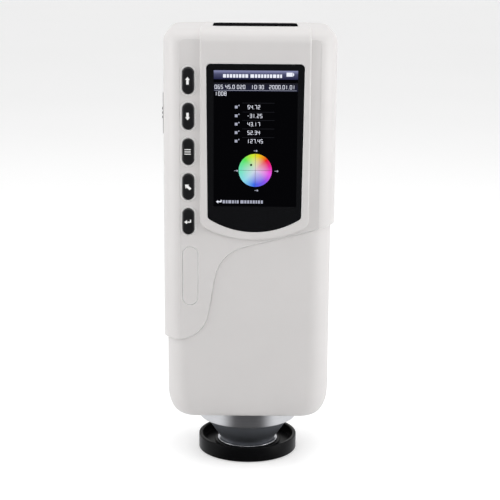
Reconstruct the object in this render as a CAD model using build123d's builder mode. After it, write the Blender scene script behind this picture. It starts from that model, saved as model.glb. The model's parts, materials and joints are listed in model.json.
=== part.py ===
from build123d import *
import os
from math import cos, radians, sin, tan

# Portable colorimeter standing on its calibration cap.
# X runs to the right of the front, the front faces -Y and Z is up. The origin is the
# centre of the cap's underside, on the measuring axis. Lengths are in millimetres.
# A drop is measured down from the top of the body, an inset in from its side.

# Body
body_width = 78.0
body_front = -33.5
body_back = 33.0
body_top = 205.0
body_low = 24.5
corner_radius = 10.5
wall = 2.2
side_step = 1.6
face_step = 1.2
split_y = 16.5
seam_gap = 0.1
fit_gap = 0.15
crown = (6.5, 4.8, 9.0)
base = (13.5, 7.0, 5.5)
round_steps = 6
quarter_turn = 90.0

# Wavy seam between the upper and the lower housing, seen from the front
seam_slope = 14.0
seam_knee_x = -13.2
seam_knee_drop = 100.7
seam_knee_radius = 18.0
seam_heel_x = -20.6
seam_heel_drop = 141.6
seam_heel_radius = 14.0
seam_lap = 3.5

# Raised band with the display window
band_height = 0.8
band_rise = 0.3
band_back = 21.0
band_x = 2.4
band_width = 48.8
band_low_drop = 94.4
band_corner = 5.0
band_edge = 0.5
window_top_width = 43.4
window_low_width = 42.0
window_top_drop = 15.3
window_side_drop = 84.6
window_low_drop = 90.8
window_thickness = 1.3
window_sink = 0.2
window_corner = 2.0

# Display module behind the window
screen_width = 36.9
screen_low_drop = 79.3
screen_height = 61.2
screen_margin = 0.5
module_side = 6.5
module_top = 3.5
module_foot = 6.1
module_thickness = 2.8
module_rim = 1.2
panel_thickness = 1.2
flex_thickness = 0.3
flex_width = 16.0
flex_drop = 4.0

# Key column in its shallow panel
panel_depth = 0.6
panel_inset_left = 7.2
panel_inset_right = 6.8
panel_slope = 1.0
key_inset = 11.65
key_first_drop = 22.8
key_pitch = 15.85
key_names = ["key_up", "key_down", "key_menu", "key_back", "key_enter"]
key_width = 5.2
key_height = 11.9
key_rim = 0.6
key_rim_height = 0.45
key_proud = 1.1
key_edge = 0.6
key_flange = 1.1
key_flange_thickness = 1.2
key_travel = 0.8
stop_gap = 0.05

# Blank badge under the keys
badge_inset = 12.4
badge_drop = 111.7
badge_width = 6.9
badge_height = 27.0
badge_thickness = 0.75

# Circuit boards, their posts and screws
board_thickness = 1.6
board_low_drop = 99.0
board_top_drop = 10.0
board_inset = 5.0
post_radius = 2.3
post_depth = 5.0
screw_radius = 1.0
screw_head_radius = 1.9
screw_head_height = 1.4
pilot_gap = 0.05
post_inset_left = 8.6
post_inset_right = 7.8
post_high_drop = 13.0
post_low_left_drop = 95.6
post_low_right_drop = 79.0
switch_size = 6.0
switch_height = 3.0
plunger_radius = 1.7
plunger_height = 0.7
chip_height = 1.2

# Side power switch
power_y = -4.0
power_drop = 40.35
power_length = 19.7
power_width = 6.4
power_corner = 1.2
power_travel = 3.0
power_recess = 1.3
power_proud = 0.35
power_rib = 1.15
power_rib_width = 0.8
power_rib_pitch = 2.0
power_neck_length = 3.6
power_neck_width = 2.4
power_body_length = 15.0
power_body_width = 7.0
power_body_depth = 4.8

# Port recess in the top, its rubber covers and sockets
port_x = 2.25
port_width = 38.7
port_depth = 26.0
port_corner = 3.0
port_split = 13.4
port_recess = 9.0
port_wall = 1.5
port_ledge = 1.2
cover_thickness = 2.2
cover_gap = 0.2
plug_height = 0.9
plug_wall = 1.2
plug_gap = 0.5
socket_rise = 1.0
socket_wall = 0.6
usb_x = -8.75
usb_width = 12.0
usb_depth = 4.6
serial_x = 5.25
serial_radius = 4.75
jack_x = 16.5
jack_radius = 3.0
jack_pin_radius = 0.8
port_board_width = 37.0
port_board_depth = 24.0
port_board_gap = 4.5
port_post_inset = 2.6

# Measuring key at the back
trigger_drop = 16.0
trigger_width = 24.0
trigger_height = 11.0
trigger_proud = 0.5
trigger_edge = 0.4
trigger_post_x = 16.4
trigger_board_width = 38.0
trigger_board_height = 10.0

# Battery compartment at the back
cell_radius = 7.25
cell_length = 49.5
cell_nub_radius = 2.75
cell_nub = 1.0
cell_count = 4
cell_gap = 0.1
contact_room = 2.4
contact_thickness = 0.4
battery_low_drop = 83.0
battery_wall = 1.4
battery_floor_y = 16.0
holder_setback = 0.25
door_lap = 0.6
door_clear = 0.1
door_pin_radius = 0.8
door_pin_length = 0.8
door_pin_rise = 1.15
door_edge = 0.95
door_running_gap = 0.05
grip_width = 12.0
grip_height = 2.4
grip_depth = 0.8

# Screws that hold the rear housing
case_screw_inset = 4.2
case_screw_high_drop = 17.0
case_screw_left_drop = 125.0
case_screw_right_drop = 75.0
case_screw_radius = 1.4
case_head_radius = 2.5
case_head_height = 2.0
case_head_level = 21.0
case_post_radius = 3.8
case_post_length = 9.0

# Measuring head
axis_hole = 18.0
hole_gap = 0.1
collar_radius = 23.5
collar_low = 17.0
collar_edge = 0.6
collar_seat = 20.0
cone_top_radius = 21.0
cone_tip_radius = 13.1
cone_tip_z = 5.4
aperture_radius = 4.0
tip_radius = 14.6
tip_thickness = 0.9
tip_neck_radius = 11.6
tip_neck_height = 2.0
head_flange_radius = 22.5
head_flange = 3.0
head_radius = 18.6
head_top = 60.0
head_roof = 3.0
head_bore = 16.2
head_bore_upper = 15.0
head_screw_circle = 20.6
head_screw_depth = 5.0
led_level = 42.0
led_count = 8
led_circle = 11.5
led_radius = 1.5
led_height = 1.2
lens_low = 38.1
lens_radius = 4.4
lens_thickness = 2.6
lens_tube_wall = 1.5
lens_lip = 0.8
sensor_size = 6.0
sensor_height = 1.0
sensor_board_size = 26.0
sensor_screw_x = 10.5
sensor_flex_width = 12.0
sensor_flex_reach = 10.0

# Calibration cap
cap_radius = 23.7
cap_height = 7.2
cap_edge = 0.4
cap_rim = 1.7
cap_floor = 3.2
cap_seat = 4.0
cap_seat_radius = 15.8
pad_proud = 0.4
pad_thickness = 1.0
pad_radius = 20.0
tile_radius = 9.5
tile_thickness = 1.6
tile_sink = 0.1
tile_pad_thickness = 0.4

os.makedirs("parts", exist_ok=True)

# Levels that follow from the values above
half_width = body_width / 2
panel_left = -half_width + panel_inset_left
panel_right = half_width - panel_inset_right
key_x = -half_width + key_inset
badge_x = -half_width + badge_inset
board_half_width = half_width - board_inset
post_left = -half_width + post_inset_left
post_right = half_width - post_inset_right
case_screw_x = half_width - case_screw_inset
seam_knee = (seam_knee_x, body_top - seam_knee_drop)
seam_heel = (seam_heel_x, body_top - seam_heel_drop)
band_low = body_top - band_low_drop
window_top = body_top - window_top_drop
window_side_low = body_top - window_side_drop
window_low = body_top - window_low_drop
screen_low = body_top - screen_low_drop
key_first_z = body_top - key_first_drop
badge_z = body_top - badge_drop
board_low = body_top - board_low_drop
board_top = body_top - board_top_drop
post_high = body_top - post_high_drop
power_z = body_top - power_drop
power_middle = power_z - power_travel / 2
trigger_z = body_top - trigger_drop
battery_low = body_top - battery_low_drop
case_screw_high = body_top - case_screw_high_drop
main_front = body_front + band_height
panel_front = main_front + panel_depth
inner_front = main_front + wall
inner_back = body_back - wall
inner_half = half_width - wall
lower_half = half_width - side_step
lower_front = main_front + face_step
lower_back = body_back - face_step
inner_low = body_low + wall
window_back = body_front + window_sink + window_thickness
screen_z = screen_low + screen_height / 2
key_zs = [key_first_z - key_pitch * step for step in range(len(key_names))]
key_stack = stop_gap + key_flange_thickness + key_travel + stop_gap + plunger_height + switch_height
board_y = inner_front + key_stack
board_back = board_y + board_thickness
trigger_board_y = inner_back - key_stack
port_floor = body_top - port_recess
socket_top = port_floor + socket_rise
port_board_top = port_floor - port_wall - port_board_gap
cover_low = body_top - cover_thickness
no_round = (0, 0, 0)
far = 2 * body_top

front_posts = [
    (post_left, post_high),
    (post_right, post_high),
    (post_left, body_top - post_low_left_drop),
    (post_right, body_top - post_low_right_drop),
]
case_screws = [
    (-case_screw_x, case_screw_high),
    (case_screw_x, case_screw_high),
    (-case_screw_x, body_top - case_screw_left_drop),
    (case_screw_x, body_top - case_screw_right_drop),
]


def save(piece, name):
    """Label a finished piece and write it."""
    piece.part.label = name
    export_step(piece.part, f"parts/{name}.step")


def facing_front(x, y, z):
    """Plane whose sketch reads in front view and whose extrusions run forward."""
    return Plane((x, y, z), x_dir=(1, 0, 0), z_dir=(0, -1, 0))


def facing_left(x, y, z):
    """Plane whose first direction runs up and whose extrusions run to the left."""
    return Plane((x, y, z), x_dir=(0, 0, 1), z_dir=(-1, 0, 0))


def shell_form(half, front, back, corner, low, high, low_round, high_round):
    """Upright rounded block; a round is its height and its insets at sides and faces."""
    middle = (front + back) / 2
    start = low + low_round[0]
    stop = high - high_round[0]
    with BuildPart() as form:
        with BuildSketch(Plane((0, middle, start))):
            RectangleRounded(2 * half, back - front, corner)
        extrude(amount=stop - start)
    block = form.part
    for (height, inset_x, inset_y), level, way in ((low_round, start, -1), (high_round, stop, 1)):
        if height == 0:
            continue
        with BuildPart() as end:
            for step in range(round_steps + 1):
                turn = radians(quarter_turn * step / round_steps)
                share = 1 - cos(turn)
                with BuildSketch(Plane((0, middle, level + way * height * sin(turn)))):
                    RectangleRounded(
                        2 * (half - inset_x * share),
                        back - front - 2 * inset_y * share,
                        corner - 0.6 * min(inset_x, inset_y) * share,
                    )
            loft()
        block += end.part
    return block


def seam_region(shift):
    """Everything below the seam in front view, with the seam moved up and left by shift."""
    right = body_width
    start = (right, seam_knee[1] + tan(radians(seam_slope)) * (right - seam_knee[0]) + shift)
    knee = (seam_knee[0] - shift, seam_knee[1] + shift)
    heel = (seam_heel[0] - shift, seam_heel[1] + shift)
    end = (-right, seam_heel[1] + shift)
    with BuildPart() as region:
        with BuildSketch(facing_front(0, far / 2, 0)):
            with BuildLine():
                FilletPolyline(start, knee, heel, end, radius=[seam_knee_radius, seam_heel_radius])
                Polyline(end, (-right, -right), (right, -right), start)
            make_face()
        extrude(amount=far)
    return region.part


def capsule(width, height):
    """Capsule in the sketch being drawn, upright when it is higher than wide."""
    if height > width:
        SlotOverall(height, width, rotation=quarter_turn)
    else:
        SlotOverall(width, height)


def window_outline(grow):
    """Display window with its arched foot, grown all round, about the middle of the band."""
    top_half = window_top_width / 2 + grow
    low_half = window_low_width / 2 + grow
    with BuildSketch() as shape:
        with BuildLine():
            Polyline(
                (-low_half, window_side_low),
                (-top_half, window_top + grow),
                (top_half, window_top + grow),
                (low_half, window_side_low),
            )
            ThreePointArc((-low_half, window_side_low), (0, window_low - grow), (low_half, window_side_low))
        make_face()
        fillet(shape.vertices(), window_corner)
    return shape.sketch


# Forms of the housings
upper_foot = seam_heel[1] - 3 * seam_lap
lower_head = seam_knee[1] + half_width
inner_corner = corner_radius - wall
upper_form = shell_form(
    half_width, main_front, body_back, corner_radius, upper_foot, body_top - band_rise, no_round, crown
)
upper_hollow = shell_form(
    inner_half, inner_front, inner_back, inner_corner, upper_foot - wall, body_top - wall, no_round, crown
)
lower_form = shell_form(
    lower_half, lower_front, lower_back, corner_radius, body_low, lower_head, base, no_round
)
lower_hollow = shell_form(
    lower_half - wall,
    lower_front + wall,
    lower_back - wall,
    inner_corner,
    inner_low,
    lower_head + wall,
    base,
    no_round,
)
lip_form = shell_form(
    inner_half - seam_gap,
    inner_front + seam_gap,
    inner_back - seam_gap,
    inner_corner,
    upper_foot,
    lower_head,
    no_round,
    no_round,
)
below_seam = seam_region(0)
below_gap = seam_region(-seam_gap)
below_lap = seam_region(seam_lap)

# Raised band with an arched foot, carried up and over the top
band_half = band_width / 2
band_shoulder = window_side_low - window_low + band_low
with BuildPart() as band:
    with BuildSketch(Plane.YZ.offset(-half_width)):
        with BuildLine():
            Polyline(
                (body_front, body_top - crown[0]),
                (body_front, band_low - wall),
                (band_back, band_low - wall),
                (band_back, body_top),
                (body_front + crown[2], body_top),
            )
            EllipticalCenterArc(
                (body_front + crown[2], body_top - crown[0]),
                crown[2],
                crown[0],
                start_angle=quarter_turn,
                arc_size=quarter_turn,
            )
        make_face()
    extrude(amount=body_width)
    with BuildSketch(facing_front(band_x, body_back, 0)):
        with BuildLine():
            Polyline(
                (-band_half, band_shoulder),
                (-band_half, body_top + wall),
                (band_half, body_top + wall),
                (band_half, band_shoulder),
            )
            ThreePointArc((-band_half, band_shoulder), (0, band_low), (band_half, band_shoulder))
        outline = make_face()
        fillet(outline.vertices().sort_by(Axis.Y)[:2], band_corner)
    extrude(amount=far, mode=Mode.INTERSECT)
    fillet(band.faces().sort_by(Axis.Y)[0].edges().filter_by(Axis.X, reverse=True), band_edge)

# Upper shell before it is split into a front and a rear housing
with BuildPart() as upper_shell:
    add(upper_form)
    with BuildSketch():
        with BuildLine():
            Polyline(
                (panel_left - panel_slope, body_front - 1),
                (panel_left - panel_slope, main_front),
                (panel_left + panel_slope, panel_front),
                (panel_right - panel_slope, panel_front),
                (panel_right + panel_slope, main_front),
                (panel_right + panel_slope, body_front - 1),
                close=True,
            )
        make_face()
    extrude(amount=body_top + wall, mode=Mode.SUBTRACT)
    add(band.part)
    add(upper_hollow, mode=Mode.SUBTRACT)
    with BuildSketch(Plane((port_x, 0, port_floor - port_wall))):
        RectangleRounded(port_width + 2 * port_wall, port_depth + 2 * port_wall, port_corner + port_wall)
    extrude(amount=port_recess)
    with BuildSketch(Plane((port_x, 0, port_floor))):
        RectangleRounded(port_width - 2 * port_ledge, port_depth - 2 * port_ledge, port_corner - port_ledge)
    extrude(amount=port_recess + wall, mode=Mode.SUBTRACT)
    with BuildSketch(Plane((port_x, 0, cover_low))):
        RectangleRounded(port_width + 2 * cover_gap, port_depth + 2 * cover_gap, port_corner)
    extrude(amount=cover_thickness + wall, mode=Mode.SUBTRACT)
    add(below_seam, mode=Mode.SUBTRACT)

# Front housing
port_posts = [
    (port_x - port_board_width / 2 + port_post_inset, port_board_depth / 2 - port_post_inset),
    (port_x + port_board_width / 2 - port_post_inset, -port_board_depth / 2 + port_post_inset),
]
with BuildPart() as front_housing:
    add(upper_shell.part)
    with BuildSketch(facing_front(0, split_y, body_top / 2)):
        Rectangle(far, far)
    extrude(amount=-far, mode=Mode.SUBTRACT)
    with BuildSketch(facing_front(band_x, window_back, 0)):
        add(window_outline(fit_gap))
    extrude(amount=far, mode=Mode.SUBTRACT)
    with BuildSketch(facing_front(band_x, inner_front + wall, screen_z)):
        Rectangle(screen_width + 2 * screen_margin, screen_height + 2 * screen_margin)
    extrude(amount=2 * wall, mode=Mode.SUBTRACT)
    rim_growth = 2 * (fit_gap + key_rim)
    for z in key_zs:
        with BuildSketch(facing_front(key_x, panel_front + wall / 2, z)):
            capsule(key_width + rim_growth, key_height + rim_growth)
    extrude(amount=wall / 2 + key_rim_height)
    for z in key_zs:
        with BuildSketch(facing_front(key_x, inner_front + wall, z)):
            capsule(key_width + 2 * fit_gap, key_height + 2 * fit_gap)
    extrude(amount=far, mode=Mode.SUBTRACT)
    for z in key_zs:
        with BuildSketch(facing_front(key_x, inner_front + wall, z)):
            relief = 2 * (key_flange + 2 * stop_gap)
            capsule(key_width + relief, key_height + relief)
    extrude(amount=wall, mode=Mode.SUBTRACT)
    badge_back = panel_front + badge_thickness + stop_gap
    with BuildSketch(facing_front(badge_x, badge_back, badge_z)):
        capsule(badge_width + 2 * fit_gap, badge_height + 2 * fit_gap)
    extrude(amount=far, mode=Mode.SUBTRACT)
    for x, z in front_posts:
        with BuildSketch(facing_front(x, board_y, z)):
            Circle(post_radius)
    extrude(amount=board_y - inner_front + seam_gap)
    for x, z in front_posts:
        with BuildSketch(facing_front(x, board_y, z)):
            Circle(screw_radius + pilot_gap)
    extrude(amount=post_depth, mode=Mode.SUBTRACT)
    for x, y in port_posts:
        with BuildSketch(Plane((x, y, port_board_top))):
            Circle(post_radius)
    extrude(amount=port_board_gap + seam_gap)
    for x, y in port_posts:
        with BuildSketch(Plane((x, y, port_board_top))):
            Circle(screw_radius + pilot_gap)
    extrude(amount=post_depth, mode=Mode.SUBTRACT)
    for x, z in case_screws:
        with BuildSketch(facing_front(x, split_y, z)):
            Rectangle(2 * (inner_half + seam_gap - abs(x)), 2 * case_post_radius)
    extrude(amount=case_post_length)
    for x, z in case_screws:
        with BuildSketch(facing_front(x, split_y, z)):
            Circle(case_screw_radius + pilot_gap)
    extrude(amount=case_post_length - wall / 2, mode=Mode.SUBTRACT)
    with BuildSketch(Plane((usb_x, 0, port_floor))):
        Rectangle(usb_width + 2 * fit_gap, usb_depth + 2 * fit_gap)
    with BuildSketch(Plane((serial_x, 0, port_floor))):
        Circle(serial_radius + fit_gap)
    with BuildSketch(Plane((jack_x, 0, port_floor))):
        Circle(jack_radius + fit_gap)
    extrude(amount=-port_wall - wall, mode=Mode.SUBTRACT)
    with BuildSketch(facing_left(-half_width + power_recess, power_y, power_middle)):
        RectangleRounded(power_length + power_travel + 2 * fit_gap, power_width + 2 * fit_gap, power_corner)
    extrude(amount=wall, mode=Mode.SUBTRACT)
    with BuildSketch(facing_left(-inner_half + wall, power_y, power_middle)):
        Rectangle(power_neck_length + power_travel + 2 * fit_gap, power_neck_width + 2 * fit_gap)
    extrude(amount=2 * wall, mode=Mode.SUBTRACT)
save(front_housing, "front_housing")

# Rear housing with the battery opening and the hole of the measuring key
holder_half = (cell_count * 2 * cell_radius + (cell_count + 1) * cell_gap) / 2 + cell_gap + battery_wall
holder_height = cell_length + cell_nub + 2 * contact_room + 2 * battery_wall
holder_z = battery_low + holder_height / 2
door_low = battery_low + door_lap
door_high = battery_low + holder_height - door_lap
door_half = holder_half - door_lap - 2 * door_clear
door_axis_y = body_back - door_pin_rise + door_clear / 2
door_axis_z = door_low + door_clear + door_pin_rise
case_recess = case_head_level - case_head_height
with BuildPart() as rear_housing:
    for x, z in case_screws:
        with BuildSketch(facing_front(x, split_y + seam_gap, z)):
            Circle(case_post_radius)
    extrude(amount=-(body_back - split_y))
    for x in (-trigger_post_x, trigger_post_x):
        with BuildSketch(facing_front(x, trigger_board_y, trigger_z)):
            Circle(post_radius)
    extrude(amount=-(inner_back - trigger_board_y + seam_gap))
    add(upper_form, mode=Mode.INTERSECT)
    add(upper_shell.part)
    with BuildSketch(facing_front(0, split_y + seam_gap, body_top / 2)):
        Rectangle(far, far)
    extrude(amount=far, mode=Mode.SUBTRACT)
    add(below_seam, mode=Mode.SUBTRACT)
    for x in (-trigger_post_x, trigger_post_x):
        with BuildSketch(facing_front(x, trigger_board_y, trigger_z)):
            Circle(screw_radius + pilot_gap)
    extrude(amount=-post_depth, mode=Mode.SUBTRACT)
    for x, z in case_screws:
        with BuildSketch(facing_front(x, case_recess, z)):
            Circle(case_head_radius + fit_gap)
    extrude(amount=-far, mode=Mode.SUBTRACT)
    for x, z in case_screws:
        with BuildSketch(facing_front(x, case_recess, z)):
            Circle(case_screw_radius + fit_gap)
    extrude(amount=wall + case_recess, mode=Mode.SUBTRACT)
    with BuildSketch(facing_front(0, inner_back - wall, trigger_z)):
        capsule(trigger_width + 2 * fit_gap, trigger_height + 2 * fit_gap)
    extrude(amount=-far, mode=Mode.SUBTRACT)
    with BuildSketch(facing_front(0, inner_back - wall, holder_z)):
        Rectangle(2 * (holder_half + fit_gap), holder_height + 2 * fit_gap)
    extrude(amount=-wall, mode=Mode.SUBTRACT)
    with BuildSketch(facing_front(0, inner_back - wall, holder_z)):
        Rectangle(2 * (door_half + door_clear), door_high - door_low)
    extrude(amount=-far, mode=Mode.SUBTRACT)
    for side in (-1, 1):
        with BuildSketch(facing_left(side * (door_half - wall), door_axis_y, door_axis_z)):
            Circle(door_pin_radius + door_running_gap)
        extrude(amount=-side * (wall + door_clear + door_pin_length), mode=Mode.SUBTRACT)
save(rear_housing, "rear_housing")

# Lower housing with the lip that the upper one closes over
with BuildPart() as lip:
    add(lip_form)
    add(below_lap, mode=Mode.INTERSECT)
with BuildPart() as lower_housing:
    add(lower_form)
    add(below_gap, mode=Mode.INTERSECT)
    add(lip.part)
    add(lower_hollow, mode=Mode.SUBTRACT)
    with Locations((0, 0, inner_low)):
        Hole(axis_hole + hole_gap, depth=2 * wall)
        with PolarLocations(head_screw_circle, 4, start_angle=45):
            Hole(screw_radius + fit_gap, depth=2 * wall)
save(lower_housing, "lower_housing")

# Display window, screen module and its flat cable
with BuildPart() as display_window:
    with BuildSketch(facing_front(band_x, window_back, 0)):
        add(window_outline(0))
    extrude(amount=window_thickness)
save(display_window, "display_window")

module_low = screen_low - module_foot
module_height = module_foot + screen_height + module_top
module_width = screen_width + 2 * module_side
module_back = inner_front + module_thickness
module_plane_z = module_low + module_height / 2
with BuildPart() as lcd_frame:
    with BuildSketch(facing_front(band_x, module_back, module_plane_z)):
        Rectangle(module_width, module_height)
    extrude(amount=module_thickness)
    with BuildSketch(facing_front(band_x, inner_front + panel_thickness, module_plane_z)):
        Rectangle(module_width - 2 * module_rim, module_height - 2 * module_rim)
    extrude(amount=panel_thickness, mode=Mode.SUBTRACT)
save(lcd_frame, "lcd_frame")

with BuildPart() as lcd_panel:
    with BuildSketch(facing_front(band_x, inner_front + panel_thickness, module_plane_z)):
        Rectangle(module_width - 2 * (module_rim + fit_gap), module_height - 2 * (module_rim + fit_gap))
    extrude(amount=panel_thickness)
save(lcd_panel, "lcd_panel")

with BuildPart() as display_flex:
    with BuildSketch(Plane.YZ.offset(band_x)):
        with BuildLine():
            flex_front = module_back - module_thickness / 3
            Polyline(
                (flex_front, module_low),
                (flex_front, module_low - flex_drop),
                (board_y, module_low - flex_drop),
                (board_y, module_low),
                (board_y - flex_thickness, module_low),
                (board_y - flex_thickness, module_low - flex_drop + flex_thickness),
                (flex_front + flex_thickness, module_low - flex_drop + flex_thickness),
                (flex_front + flex_thickness, module_low),
                close=True,
            )
        make_face()
    extrude(amount=flex_width / 2, both=True)
save(display_flex, "display_flex")

with BuildPart() as badge_plate:
    with BuildSketch(facing_front(badge_x, panel_front + badge_thickness, badge_z)):
        capsule(badge_width, badge_height)
    extrude(amount=badge_thickness)
save(badge_plate, "badge_plate")

# Five front keys with their retaining flanges
flange_back = inner_front + stop_gap + key_flange_thickness
for name, z in zip(key_names, key_zs):
    with BuildPart() as key:
        with BuildSketch(facing_front(key_x, flange_back, z)):
            capsule(key_width + 2 * key_flange, key_height + 2 * key_flange)
        extrude(amount=key_flange_thickness)
        with BuildSketch(facing_front(key_x, flange_back, z)):
            capsule(key_width, key_height)
        extrude(amount=flange_back - panel_front + key_proud)
        fillet(key.edges().group_by(Axis.Y)[0], key_edge)
    save(key, name)

with BuildPart() as key_switches:
    for z in key_zs:
        with BuildSketch(facing_front(key_x, board_y, z)):
            Rectangle(switch_size, switch_size)
    extrude(amount=switch_height)
    for z in key_zs:
        with BuildSketch(facing_front(key_x, board_y - switch_height, z)):
            Circle(plunger_radius)
    extrude(amount=plunger_height)
save(key_switches, "key_switches")

# Main board with its chips
with BuildPart() as main_board:
    with BuildSketch(facing_front(0, board_back, (board_low + board_top) / 2)):
        RectangleRounded(2 * board_half_width, board_top - board_low, post_radius)
    extrude(amount=board_thickness)
    for x, z in front_posts:
        with BuildSketch(facing_front(x, board_back, z)):
            Circle(screw_radius + fit_gap)
    extrude(amount=board_thickness, mode=Mode.SUBTRACT)
save(main_board, "main_board")

chips = [(10, 45, 14, 14), (-12, 53, 9, 14), (-14, 27, 10, 7), (12, 23, 16, 5), (14, 73, 8, 8)]
with BuildPart() as board_chips:
    for x, drop, width, height in chips:
        with BuildSketch(facing_front(x, board_back, body_top - drop)):
            Rectangle(width, height)
    extrude(amount=-chip_height)
save(board_chips, "board_chips")

# Side power switch
recess_face = -half_width + power_recess
with BuildPart() as power_slider:
    with BuildSketch(facing_left(recess_face - stop_gap, power_y, power_z)):
        RectangleRounded(power_length, power_width, power_corner)
    extrude(amount=power_recess + power_proud - stop_gap)
    for step in (-1, 0, 1):
        with BuildSketch(facing_left(recess_face - stop_gap, power_y, power_z + step * power_rib_pitch)):
            Rectangle(power_rib_width, power_width - 2 * power_rib_width)
    extrude(amount=power_recess + power_proud + power_rib - stop_gap)
    with BuildSketch(facing_left(-inner_half + stop_gap + power_neck_width / 2, power_y, power_z)):
        Rectangle(power_neck_length, power_neck_width)
    extrude(amount=wall)
save(power_slider, "power_slider")

with BuildPart() as power_switch:
    with BuildSketch(facing_left(-inner_half + stop_gap + power_body_depth, power_y, power_middle)):
        Rectangle(power_body_length, power_body_width)
    extrude(amount=power_body_depth)
    with BuildSketch(facing_left(-inner_half + power_neck_width, power_y, power_middle)):
        Rectangle(power_neck_length + power_travel + 4 * fit_gap, power_neck_width + 4 * fit_gap)
    extrude(amount=2 * wall, mode=Mode.SUBTRACT)
save(power_switch, "power_switch")

# Port board and its sockets
with BuildPart() as port_board:
    with BuildSketch(Plane((port_x, 0, port_board_top - board_thickness))):
        RectangleRounded(port_board_width, port_board_depth, port_corner)
    extrude(amount=board_thickness)
    for x, y in port_posts:
        with BuildSketch(Plane((x, y, port_board_top - board_thickness))):
            Circle(screw_radius + fit_gap)
    extrude(amount=board_thickness, mode=Mode.SUBTRACT)
save(port_board, "port_board")

socket_length = socket_top - port_board_top
with BuildPart() as usb_socket:
    with BuildSketch(Plane((usb_x, 0, port_board_top))):
        Rectangle(usb_width, usb_depth)
    extrude(amount=socket_length)
    with BuildSketch(Plane((usb_x, 0, port_board_top + socket_wall))):
        Rectangle(usb_width - 2 * socket_wall, usb_depth - 2 * socket_wall)
        Rectangle(usb_width - 4 * socket_wall, usb_depth / 3, mode=Mode.SUBTRACT)
    extrude(amount=socket_length, mode=Mode.SUBTRACT)
save(usb_socket, "usb_socket")

with BuildPart() as serial_socket:
    with BuildSketch(Plane((serial_x, 0, port_board_top))):
        Circle(serial_radius)
    extrude(amount=socket_length)
    with BuildSketch(Plane((serial_x, 0, port_board_top + socket_wall))):
        Circle(serial_radius - socket_wall)
        with PolarLocations(serial_radius / 2, 6):
            Circle(socket_wall / 2, mode=Mode.SUBTRACT)
    extrude(amount=socket_length, mode=Mode.SUBTRACT)
save(serial_socket, "serial_socket")

with BuildPart() as power_jack:
    with BuildSketch(Plane((jack_x, 0, port_board_top))):
        Circle(jack_radius)
    extrude(amount=socket_length)
    with BuildSketch(Plane((jack_x, 0, port_board_top + socket_wall))):
        Circle(jack_radius - socket_wall)
        Circle(jack_pin_radius, mode=Mode.SUBTRACT)
    extrude(amount=socket_length, mode=Mode.SUBTRACT)
save(power_jack, "power_jack")

# Rubber covers of the port recess, hinged along their rear edge
cover_left = port_x - port_width / 2
cover_right = port_x + port_width / 2
covers = {
    "port_cover_large": (cover_left, port_split - cover_gap / 2),
    "port_cover_small": (port_split + cover_gap / 2, cover_right),
}
for name, (left, right) in covers.items():
    with BuildPart() as cover:
        with BuildSketch(Plane((port_x, 0, cover_low))):
            RectangleRounded(port_width, port_depth, port_corner - cover_gap)
        extrude(amount=cover_thickness)
        with BuildSketch(Plane((port_x, 0, cover_low - plug_height))):
            RectangleRounded(
                port_width - 2 * (port_ledge + plug_gap),
                port_depth - 2 * (port_ledge + plug_gap),
                port_corner - port_ledge - cover_gap,
            )
        extrude(amount=plug_height)
        with BuildSketch(Plane(((left + right) / 2, 0, cover_low - plug_height))):
            Rectangle(right - left, port_depth)
        extrude(amount=plug_height + cover_thickness, mode=Mode.INTERSECT)
        with BuildSketch(Plane(((left + right) / 2, 0, cover_low - plug_height))):
            Rectangle(
                right - left - 2 * (port_ledge + plug_gap + plug_wall),
                port_depth - 2 * (port_ledge + plug_gap + plug_wall),
            )
        extrude(amount=plug_height, mode=Mode.SUBTRACT)
    save(cover, name)

# Measuring key at the back, its switch and small board
trigger_flange = inner_back - stop_gap - key_flange_thickness
with BuildPart() as measure_key:
    with BuildSketch(facing_front(0, trigger_flange, trigger_z)):
        capsule(trigger_width + 2 * key_flange, trigger_height + 2 * key_flange)
    extrude(amount=-key_flange_thickness)
    with BuildSketch(facing_front(0, trigger_flange, trigger_z)):
        capsule(trigger_width, trigger_height)
    extrude(amount=-(body_back + trigger_proud - trigger_flange))
    fillet(measure_key.edges().group_by(Axis.Y)[-1], trigger_edge)
save(measure_key, "measure_key")

with BuildPart() as trigger_board:
    with BuildSketch(facing_front(0, trigger_board_y, trigger_z)):
        Rectangle(trigger_board_width, trigger_board_height)
        with GridLocations(2 * trigger_post_x, 0, 2, 1):
            Circle(screw_radius + fit_gap, mode=Mode.SUBTRACT)
    extrude(amount=board_thickness)
save(trigger_board, "trigger_board")

with BuildPart() as measure_switch:
    with BuildSketch(facing_front(0, trigger_board_y, trigger_z)):
        Rectangle(switch_size, switch_size)
    extrude(amount=-switch_height)
    with BuildSketch(facing_front(0, trigger_board_y + switch_height, trigger_z)):
        Circle(plunger_radius)
    extrude(amount=-plunger_height)
save(measure_switch, "measure_switch")

# Battery compartment, its cells, contacts and door
cell_y = battery_floor_y + cell_gap + cell_radius
cell_pitch = 2 * cell_radius + cell_gap
with BuildPart() as battery_holder:
    with BuildSketch(facing_front(0, battery_floor_y - battery_wall, holder_z)):
        Rectangle(2 * holder_half, holder_height)
    extrude(amount=-(inner_back - holder_setback - battery_floor_y + battery_wall))
    with BuildSketch(facing_front(0, battery_floor_y, holder_z)):
        Rectangle(2 * (holder_half - battery_wall), holder_height - 2 * battery_wall)
    extrude(amount=-far, mode=Mode.SUBTRACT)
save(battery_holder, "battery_holder")

with BuildPart() as battery_cells:
    for step in range(cell_count):
        place = (step - (cell_count - 1) / 2) * cell_pitch
        way = 1 if step % 2 == 0 else -1
        base_z = holder_z - way * (cell_length + cell_nub) / 2
        with BuildSketch(Plane((place, cell_y, base_z))):
            Circle(cell_radius)
        extrude(amount=way * cell_length)
        with BuildSketch(Plane((place, cell_y, base_z + way * cell_length))):
            Circle(cell_nub_radius)
        extrude(amount=way * cell_nub)
save(battery_cells, "battery_cells")

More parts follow.
